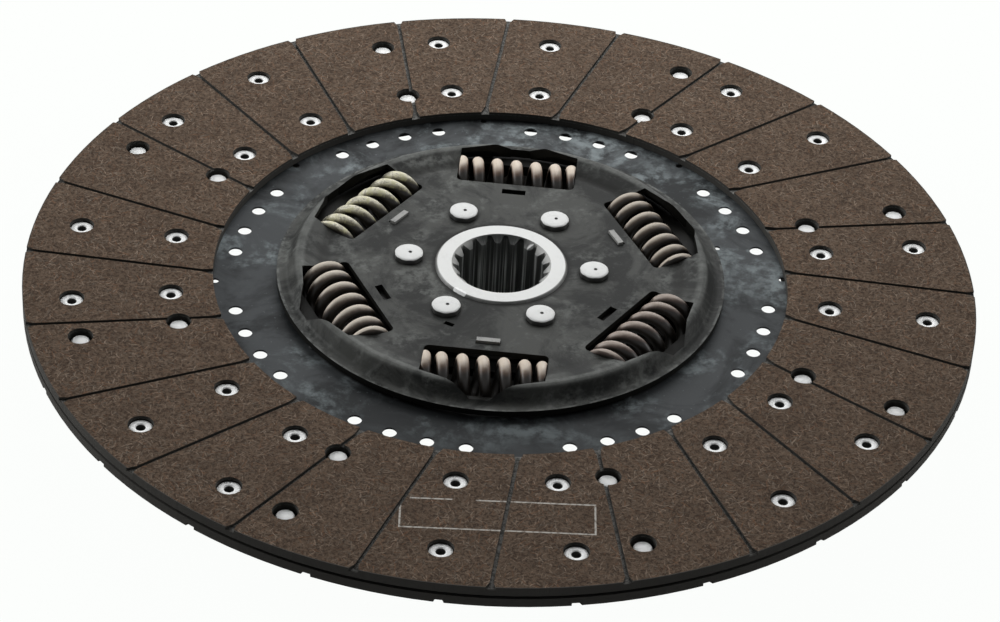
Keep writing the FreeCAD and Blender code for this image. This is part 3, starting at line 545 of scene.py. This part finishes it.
def finish_of_bright_rivet(name, colour, shade, side, side_height):
    """Bright on the ends, and the side colour below side_height from the disc's middle plane; for the hub
    rivets that is painted shade.
    """
    material, tree, shader, position = new_finish(name)
    film = dull_film(tree, position, 220.0)
    end = mix_colours(tree, calc(tree, "MULTIPLY", film["Clouds"], 0.45), colour, shade)
    height = height_from_middle(tree, split(tree, position))
    on_end = ease(tree, height, side_height - 0.0003, side_height + 0.0001)
    tree.links.new(mix_colours(tree, on_end, side, end), shader.inputs["Base Color"])
    tree.links.new(ease(tree, film["Grain"], 0.2, 0.8, 0.34, 0.50), shader.inputs["Roughness"])
    bump(tree, shader, film["Grain"], 0.10)
    return material


def finish_of_recess_shade():
    """Painted shade: black in the punch marks and in the bores of the facing rivets."""
    material, tree, shader, position = new_finish("painted_recess_shade")
    film = dull_film(tree, position, 400.0)
    tree.links.new(mix_colours(tree, film["Clouds"], RECESS_SHADE, RECESS_SHADE_PALE), shader.inputs["Base Color"])
    shader.inputs["Roughness"].default_value = 0.6
    return material


def turn_profile(profile, steps):
    """A solid of revolution about Z from its (radius, level) corners, which start and end on the axis."""
    shape = bmesh.new()
    corners = [shape.verts.new((radius, 0, level)) for radius, level in profile]
    edges = [shape.edges.new(pair) for pair in zip(corners, corners[1:])]
    bmesh.ops.spin(shape, geom=corners + edges, cent=(0, 0, 0), axis=(0, 0, 1), angle=2 * math.pi,
                   steps=steps, use_merge=True)
    bmesh.ops.remove_doubles(shape, verts=shape.verts, dist=1e-6)
    bmesh.ops.recalc_face_normals(shape, faces=shape.faces)
    return shape


def move_into(whole, shape, places):
    """Copies of one shape in a larger one, each at its place; the single shape is used up."""
    mesh = bpy.data.meshes.new("repeated")
    shape.to_mesh(mesh)
    shape.free()
    for place in places:
        kept = len(whole.verts)
        whole.from_mesh(mesh)
        whole.verts.ensure_lookup_table()
        bmesh.ops.transform(whole, matrix=place, verts=whole.verts[kept:])
    bpy.data.meshes.remove(mesh)


def place_on_circle(angle, circle):
    """Turned about the hub's axis by an angle and moved out to a circle in the damper's middle plane."""
    return Matrix.Rotation(angle, 4, "Z") @ Matrix.Translation((circle, 0, DAMPER_MIDDLE))


def make_hub_rivet(angle):
    """Both heads and the shank, with the marks moved the same way whatever the rivet's own turn."""
    head = [(MARK_RADIUS * 0.6, HEAD_LEVEL - 0.0006), (MARK_RADIUS, HEAD_LEVEL - 0.0001),
            (MARK_RADIUS * 1.2, HEAD_LEVEL), (MARK_CLEAR, HEAD_LEVEL), (HEAD_RADIUS - 0.0010, HEAD_LEVEL),
            (HEAD_RADIUS - 0.0006, HEAD_LEVEL - 0.0001), (HEAD_RADIUS - 0.0002, HEAD_LEVEL - 0.0004),
            (HEAD_RADIUS, HEAD_LEVEL - 0.0009), (HEAD_RADIUS, COVER_LEVEL), (SHANK_RADIUS, COVER_LEVEL)]
    above = [(0, HEAD_LEVEL - MARK_DEPTH)] + head
    below = [(radius, -level) for radius, level in above]
    shape = turn_profile(below + above[::-1], HEAD_STEPS)
    offset = Matrix.Rotation(-angle, 3, "Z") @ MARK_OFFSET
    marks = [vert for vert in shape.verts if abs(vert.co.z) > HEAD_LEVEL - MARK_ZONE
             and vert.co.xy.length < MARK_RADIUS * 1.3]
    bmesh.ops.translate(shape, verts=marks, vec=offset)
    for face in shape.faces:
        middle = face.calc_center_median()
        if abs(middle.z) > HEAD_LEVEL - MARK_ZONE and (middle - offset).xy.length < MARK_RADIUS * 0.95:
            face.material_index = 1
    for flat in range(HEAD_FLATS):
        way = FLAT_TURN + 2 * math.pi * flat / HEAD_FLATS
        across = Vector((math.cos(way), math.sin(way), 0))
        bmesh.ops.bisect_plane(shape, geom=everything(shape), plane_co=across * HEAD_FLAT, plane_no=across,
                               clear_outer=True)
        bmesh.ops.holes_fill(shape, edges=open_edges(shape), sides=0)
    bmesh.ops.recalc_face_normals(shape, faces=shape.faces)
    return shape


def sharpen(shape, limit):
    """Edges that turn by more than the limit stay crisp in a smooth-shaded mesh."""
    for edge in shape.edges:
        edge.smooth = len(edge.link_faces) == 2 and edge.calc_face_angle() < limit


painted_recess_shade = finish_of_recess_shade()
hub_rivet_shape = bmesh.new()
for index in range(HUB_RIVETS):
    rivet_angle = RIVET_TURN + 2 * math.pi * index / HUB_RIVETS
    move_into(hub_rivet_shape, make_hub_rivet(rivet_angle), [place_on_circle(rivet_angle, RIVET_CIRCLE)])
sharpen(hub_rivet_shape, CRISP_HEAD)
upset_steel = finish_of_bright_rivet("upset_rivet_steel", BRIGHT_RIVET, RIVET_SHADE, RIVET_SIDE_SHADE,
                                     HEAD_LEVEL - 0.0004)
hub_rivets = add_piece("upset_hub_rivets", hub_rivet_shape, [upset_steel, painted_recess_shade],
                       "hub_assembly")
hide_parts("hub_rivets")

# Facings. Two rings of woven friction lining: yarn and resin pressed hard, ground flat, then grooved
# and drilled. Loose fibres lie every way in the brown ground face; cut walls and edges are almost black.
# Depths are measured from the disc's middle plane.
LINING_DARK = (0.048, 0.033, 0.024, 1.0)
LINING_BROWN = (0.132, 0.095, 0.069, 1.0)
LINING_TAN = (0.310, 0.240, 0.185, 1.0)
LINING_RUST = (0.185, 0.092, 0.050, 1.0)
LINING_GREY = (0.150, 0.134, 0.112, 1.0)
LINING_PITH = (0.020, 0.013, 0.010, 1.0)
LINING_CUT = (0.066, 0.064, 0.059, 1.0)
GROOVE_FLOOR = (0.200, 0.198, 0.188, 1.0)
GROUND_DEPTH = (0.00497, 0.00503)
GROUND_RADIUS = (0.2148, 0.2144)
FLOOR_DEPTH_RISE = (0.00355, 0.00362)
FLOOR_DEPTH_FALL = (0.00385, 0.00368)
FLOOR_RADIUS = (0.2146, 0.2140)
FIBRE_BEND = 0.7
FIBRE_REACH = (0.60, 0.42)
# Each layer of fibres: cells a metre, thickness in a cell, shift, colour and strength.
FIBRE_LAYERS = [
    (140.0, 0.06, 0.113, LINING_PITH, 0.60), (180.0, 0.07, 0.271, LINING_RUST, 0.65),
    (230.0, 0.09, 0.419, LINING_GREY, 0.60), (270.0, 0.10, 0.587, LINING_TAN, 0.75),
    (350.0, 0.14, 0.733, LINING_PITH, 0.55), (430.0, 0.16, 0.877, LINING_TAN, 0.70),
    (310.0, 0.12, 0.331, LINING_RUST, 0.55), (520.0, 0.20, 0.653, LINING_GREY, 0.60),
]


def make_fibre_group():
    """Short bent fibres, one to each cell, turned every way: a mask and a tone for each fibre."""
    tree, given, made = new_group(
        "Loose fibres", {"Position": ("NodeSocketVector", None), "Cells": ("NodeSocketFloat", 200.0),
                         "Thickness": ("NodeSocketFloat", 0.06), "Shift": ("NodeSocketFloat", 0.0)},
        {"Fibre": "NodeSocketFloat", "Tone": "NodeSocketFloat"})
    moved = add_node(tree, "ShaderNodeVectorMath", {0: given["Position"], 1: given["Shift"]},
                     operation="ADD").outputs[0]
    scaled = add_node(tree, "ShaderNodeVectorMath", {0: moved, 3: given["Cells"]},
                      operation="SCALE").outputs[0]
    cell = add_node(tree, "ShaderNodeTexVoronoi", {"Vector": scaled, "Scale": 1.0, "Randomness": 1.0},
                    voronoi_dimensions="2D")
    local = add_node(tree, "ShaderNodeVectorMath", {0: scaled, 1: cell.outputs["Position"]},
                     operation="SUBTRACT").outputs[0]
    luck = add_node(tree, "ShaderNodeSeparateColor", {"Color": cell.outputs["Color"]}).outputs
    turned = add_node(tree, "ShaderNodeVectorRotate", {"Vector": local,
                      "Angle": calc(tree, "MULTIPLY", luck["Red"], 2 * math.pi)}, rotation_type="Z_AXIS")
    parts = split(tree, turned.outputs[0])
    curve = calc(tree, "MULTIPLY", calc(tree, "SUBTRACT", luck["Green"], 0.5), FIBRE_BEND)
    bent = calc(tree, "MULTIPLY_ADD", calc(tree, "MULTIPLY", parts["X"], parts["X"]), curve, parts["Y"])
    inside = ease(tree, calc(tree, "ABSOLUTE", bent), given["Thickness"], 0.0)
    reach = ease(tree, calc(tree, "ABSOLUTE", parts["X"]), *FIBRE_REACH)
    tree.links.new(calc(tree, "MULTIPLY", inside, reach), made["Fibre"])
    tree.links.new(luck["Blue"], made["Tone"])
    return tree


LOOSE_FIBRES = make_fibre_group()


def loose_fibres(tree, position, cells, thickness, shift):
    """One layer's two outputs: Fibre and Tone."""
    node = add_node(tree, "ShaderNodeGroup", {"Position": position, "Cells": cells, "Thickness": thickness,
                    "Shift": shift}, node_tree=LOOSE_FIBRES)
    return node.outputs


def finish_of_lining(name, print_on_face=None):
    """The lining's colour, with the cut walls dark: it is ground only on its two flat faces."""
    material, tree, shader, position = new_finish(name)
    parts = split(tree, position)
    radius, depth = distance_from_axis(tree, parts), height_from_middle(tree, parts)
    mottle = noise(tree, position, 780.0, detail=5.0, roughness=0.75, distortion=0.4)
    patches = noise(tree, position, 60.0, detail=4.0, roughness=0.62)
    tufts = noise(tree, position, 110.0, detail=4.0, roughness=0.7, distortion=0.8)
    tufts = ease(tree, tufts, 0.36, 0.66, 0.25, 1.0)
    colour = mix_colours(tree, ease(tree, mottle, 0.40, 0.59), LINING_DARK, LINING_BROWN)
    colour = mix_colours(tree, ease(tree, patches, 0.42, 0.70, 0.0, 0.35), colour, LINING_DARK)
    relief = mottle
    for cells, thickness, shift, shade, strength in FIBRE_LAYERS:
        fibres = loose_fibres(tree, position, cells, thickness, shift)
        chosen = ease(tree, fibres["Tone"], 0.25, 0.95, 0.0, strength)
        amount = calc(tree, "MULTIPLY", calc(tree, "MULTIPLY", fibres["Fibre"], chosen), tufts)
        colour = mix_colours(tree, amount, colour, shade)
        relief = calc(tree, "ADD", relief, amount)
    ground = calc(tree, "MULTIPLY", ease(tree, depth, *GROUND_DEPTH), ease(tree, radius, *GROUND_RADIUS))
    on_floor = calc(tree, "MULTIPLY", band(tree, depth, FLOOR_DEPTH_RISE, FLOOR_DEPTH_FALL),
                    ease(tree, radius, *FLOOR_RADIUS))
    floor_tone = mix_colours(tree, ease(tree, mottle, 0.40, 0.60), LINING_CUT, GROOVE_FLOOR)
    cut = mix_colours(tree, on_floor, LINING_CUT, floor_tone)
    colour = mix_colours(tree, ground, cut, colour)
    if print_on_face:
        colour = print_on_face(tree, parts, ground, colour)
    tree.links.new(colour, shader.inputs["Base Color"])
    shader.inputs["Specular IOR Level"].default_value = 0.03
    tree.links.new(ease(tree, mottle, 0.3, 0.7, 0.70, 0.84), shader.inputs["Roughness"])
    bump(tree, shader, relief, 0.25)
    return material


dress("facing_lower", finish_of_lining("woven_lining_lower"))

# Printed frame. A thin pale box is printed on the upper facing with a rubber roller, so its ink lies in
# the ground face only. It is worn, and the ink missed one corner and a stretch of one side.
INK = (0.500, 0.480, 0.440, 1.0)
FRAME_MIDDLE = (0.00430, -0.17020)
FRAME_HALF = (0.04045, 0.00930)
FRAME_TURN = math.radians(1.15)
FRAME_LINE = 0.00040
INNER_SIDE = (0.0, 0.004)
GAP_LEFT = (-0.0195, -0.0185)
GAP_RIGHT = (-0.0085, -0.0095)
CORNER_UP = (0.0040, 0.0050)
CORNER_LEFT = (-0.0362, -0.0370)


def print_frame(tree, parts, ground, colour):
    """The lining's colour with the frame's ink on it, where the face is ground."""
    place = add_node(tree, "ShaderNodeCombineXYZ", {
        "X": calc(tree, "SUBTRACT", parts["X"], FRAME_MIDDLE[0]),
        "Y": calc(tree, "SUBTRACT", parts["Y"], FRAME_MIDDLE[1])})
    turned = add_node(tree, "ShaderNodeVectorRotate", {"Vector": place.outputs[0], "Angle": -FRAME_TURN},
                      rotation_type="Z_AXIS").outputs[0]
    local = split(tree, turned)
    past_side = calc(tree, "SUBTRACT", calc(tree, "ABSOLUTE", local["X"]), FRAME_HALF[0])
    past_end = calc(tree, "SUBTRACT", calc(tree, "ABSOLUTE", local["Y"]), FRAME_HALF[1])
    from_outline = calc(tree, "ABSOLUTE", calc(tree, "MAXIMUM", past_side, past_end))
    line = ease(tree, from_outline, FRAME_LINE * 1.3, FRAME_LINE * 0.7)
    wear = ease(tree, noise(tree, turned, 420.0, detail=4.0, roughness=0.7), 0.36, 0.55, 0.25, 1.0)
    gap = calc(tree, "MULTIPLY", ease(tree, local["Y"], *INNER_SIDE),
               band(tree, local["X"], GAP_LEFT, GAP_RIGHT))
    corner = calc(tree, "MULTIPLY", ease(tree, local["Y"], *CORNER_UP), ease(tree, local["X"], *CORNER_LEFT))
    printed = calc(tree, "SUBTRACT", 1.0, calc(tree, "MAXIMUM", gap, corner))
    ink = calc(tree, "MULTIPLY", calc(tree, "MULTIPLY", line, wear), printed)
    return mix_colours(tree, calc(tree, "MULTIPLY", ink, ground), colour, INK)


dress("facing_upper", finish_of_lining("woven_lining_upper", print_frame))

# Facing rivets. Semi-tubular rivets of soft plated metal. A solid head grips the cushion plate, and the
# hollow end is rolled out in the counterbore of the facing that it holds; its bore is painted black as
# shade.
# Heights along a rivet are measured from the disc's middle plane.
SOFT_RIVET = (0.900, 0.910, 0.900, 1.0)
SOFT_SHADE = (0.620, 0.630, 0.620, 1.0)
HEAD_BACK = -0.00015
HEAD_FRONT = HEAD_BACK - 0.0025
ROLLED_START = 0.00285
ROLLED_TOP = 0.00345
BORE_END = 0.00005
BORE_REACH = 0.0021
SOFT_RIVET_STEPS = 28
CRISP_ROLL = math.radians(50)
SECTORS = 8
SECTOR_TURN = 5.5
RIVET_CIRCLES = (0.1933, 0.1493)
UPPER_TURNS = (5.6, 34.1)
LOWER_TURNS = (14.0,)


def make_facing_rivet():
    profile = [(0, HEAD_FRONT), (0.0034, HEAD_FRONT), (0.0038, HEAD_FRONT + 0.0002),
               (0.0040, HEAD_FRONT + 0.0006), (0.0040, HEAD_BACK), (0.0024, HEAD_BACK),
               (0.0024, ROLLED_START), (0.0049, ROLLED_START), (0.0051, ROLLED_START + 0.0001),
               (0.0051, ROLLED_START + 0.0002),
               (0.0048, ROLLED_TOP - 0.0002), (0.0042, ROLLED_TOP - 0.00004), (0.0035, ROLLED_TOP),
               (0.0028, ROLLED_TOP - 0.00004), (0.0023, ROLLED_TOP - 0.0002), (0.0021, ROLLED_TOP - 0.0005),
               (0.0020, ROLLED_TOP - 0.0010), (0.0019, BORE_END), (0, BORE_END)]
    shape = turn_profile(profile, SOFT_RIVET_STEPS)
    for face in shape.faces:
        middle = face.calc_center_median()
        if middle.xy.length < BORE_REACH and middle.z > BORE_END - 0.0001:
            face.material_index = 1
    return shape


def add_facing_rivets(node, turns, head_up):
    """All the rivets of one facing: two circles of them, at the given degrees in each of the sectors."""
    whole = bmesh.new()
    for circle in RIVET_CIRCLES:
        rivet = make_facing_rivet()
        if head_up:
            over = Matrix.Rotation(math.pi, 3, "X")
            bmesh.ops.rotate(rivet, verts=rivet.verts, cent=(0, 0, 0), matrix=over)
        angles = [SECTOR_TURN + turn + 360 / SECTORS * sector for turn in turns for sector in range(SECTORS)]
        move_into(whole, rivet, [place_on_circle(math.radians(angle), circle) for angle in angles])
    sharpen(whole, CRISP_ROLL)
    piece = add_piece("rolled_" + node, whole, [soft_rivet, painted_recess_shade], "facing_assembly")
    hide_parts(node)


soft_rivet = finish_of_bright_rivet("plated_soft_rivet", SOFT_RIVET, SOFT_SHADE, SOFT_RIVET, 0.0)
add_facing_rivets("facing_rivets_upper", UPPER_TURNS, head_up=False)
add_facing_rivets("facing_rivets_lower", LOWER_TURNS, head_up=True)

# Floor. A plain pale sheet under the disc, which stands on the long end of its hub. It glows white round the
# disc; right under the damper it does not glow and is painted darker as shadow. From below it is clear, so
# that it hides nothing.
FLOOR_HALF = 30.0
FLOOR_SHADED = (0.20, 0.20, 0.20, 1.0)
FLOOR_PALE = (0.80, 0.80, 0.80, 1.0)
FLOOR_WHITE = (0.985, 1.0, 0.985, 1.0)
GLOW_SHARE = 0.98
SHADE_MIDDLE = (0.0, 0.046, 0.0)
SHADE_RADIUS = 0.104
SHADE_EDGE = 0.008


def looked_at(tree):
    """1 for rays from the camera, off gloss and through glass, and 0 for those that light the scene."""
    ray = add_node(tree, "ShaderNodeLightPath").outputs
    seen = calc(tree, "MAXIMUM", ray["Is Camera Ray"], ray["Is Glossy Ray"])
    return calc(tree, "MAXIMUM", seen, ray["Is Transmission Ray"])


def finish_of_floor():
    material, tree, shader, position = new_finish("pale_floor")
    tree.nodes.remove(shader)
    from_shade = vector_value(tree, "DISTANCE", position, SHADE_MIDDLE)
    open_floor = ease(tree, from_shade, SHADE_RADIUS - SHADE_EDGE, SHADE_RADIUS + SHADE_EDGE)
    # Painted shadow: the sheet is darker right under the damper.
    sheet = mix_colours(tree, open_floor, FLOOR_SHADED, FLOOR_PALE)
    matte = add_node(tree, "ShaderNodeBsdfDiffuse", {"Color": sheet}).outputs[0]
    glow = add_node(tree, "ShaderNodeEmission", {"Color": FLOOR_WHITE, "Strength": 1.0}).outputs[0]
    share = calc(tree, "MULTIPLY", calc(tree, "MULTIPLY", looked_at(tree), GLOW_SHARE), open_floor)
    above = add_node(tree, "ShaderNodeMixShader", {0: share, 1: matte, 2: glow}).outputs[0]
    clear = add_node(tree, "ShaderNodeBsdfTransparent").outputs[0]
    underside = add_node(tree, "ShaderNodeNewGeometry").outputs["Backfacing"]
    both = add_node(tree, "ShaderNodeMixShader", {0: underside, 1: above, 2: clear}).outputs[0]
    tree.links.new(both, tree.nodes["Material Output"].inputs["Surface"])
    return material


floor_shape = bmesh.new()
bmesh.ops.create_grid(floor_shape, x_segments=1, y_segments=1, size=FLOOR_HALF)
floor_mesh = bpy.data.meshes.new("floor")
floor_shape.to_mesh(floor_mesh)
floor_shape.free()
floor_mesh.materials.append(finish_of_floor())
floor = bpy.data.objects.new("floor", floor_mesh)
bpy.context.scene.collection.objects.link(floor)

# Light. A wide soft lamp high behind the disc, a stronger one far off at each side, and a pale room that
# looks white and lights little.
ROOM_WHITE = (0.97, 0.98, 1.0, 1.0)
ROOM_LIGHT = 0.07
# Each lamp: its name, place, aim, width and power.
LAMPS = [
    ("lamp_behind", (0.06, 0.52, 0.54), (0, 0.02, 0.03), 0.8, 4.9),
    ("lamp_left", (-1.70, 0.60, 0.75), (0, 0, 0.03), 0.9, 25.0),
    ("lamp_right", (1.70, 0.52, 0.62), (0, 0, 0.03), 0.9, 10.0),
]

world = bpy.data.worlds.new("pale_room")
world.use_nodes = True
world_tree = world.node_tree
background = world_tree.nodes["Background"].inputs
background["Color"].default_value = ROOM_WHITE
room_strength = ease(world_tree, looked_at(world_tree), 0.0, 1.0, ROOM_LIGHT, 1.0)
world_tree.links.new(room_strength, background["Strength"])
bpy.context.scene.world = world

for name, place, aim, width, power in LAMPS:
    lamp = bpy.data.lights.new(name, "AREA")
    lamp.shape = "DISK"
    lamp.size = width
    lamp.energy = power
    holder = bpy.data.objects.new(name, lamp)
    holder.location = place
    holder.rotation_euler = (Vector(aim) - Vector(place)).to_track_quat("-Z", "Y").to_euler()
    bpy.context.scene.collection.objects.link(holder)

# Camera. A long lens that looks down on the disc at 37 degrees, tilted a little to the left as in the
# photograph.
CAMERA_LENS = 122.96
CAMERA_FILM = 36.0
CAMERA_PLACE = Vector((0.000568, -1.24719, 0.95415))
LOOKING = Vector((0.0, 0.79941, -0.60078))
RIGHTWARD = Vector((0.99847, 0.03317, 0.04414))

camera_data = bpy.data.cameras.new("camera")
camera_data.sensor_width = CAMERA_FILM
camera_data.lens = CAMERA_LENS
camera = bpy.data.objects.new("camera", camera_data)
bpy.context.scene.collection.objects.link(camera)
axes = Matrix((RIGHTWARD, RIGHTWARD.cross(LOOKING), -LOOKING)).transposed()
camera.matrix_world = Matrix.Translation(CAMERA_PLACE) @ axes.to_4x4()
bpy.context.scene.camera = camera
bpy.context.scene.view_settings.view_transform = "Standard"
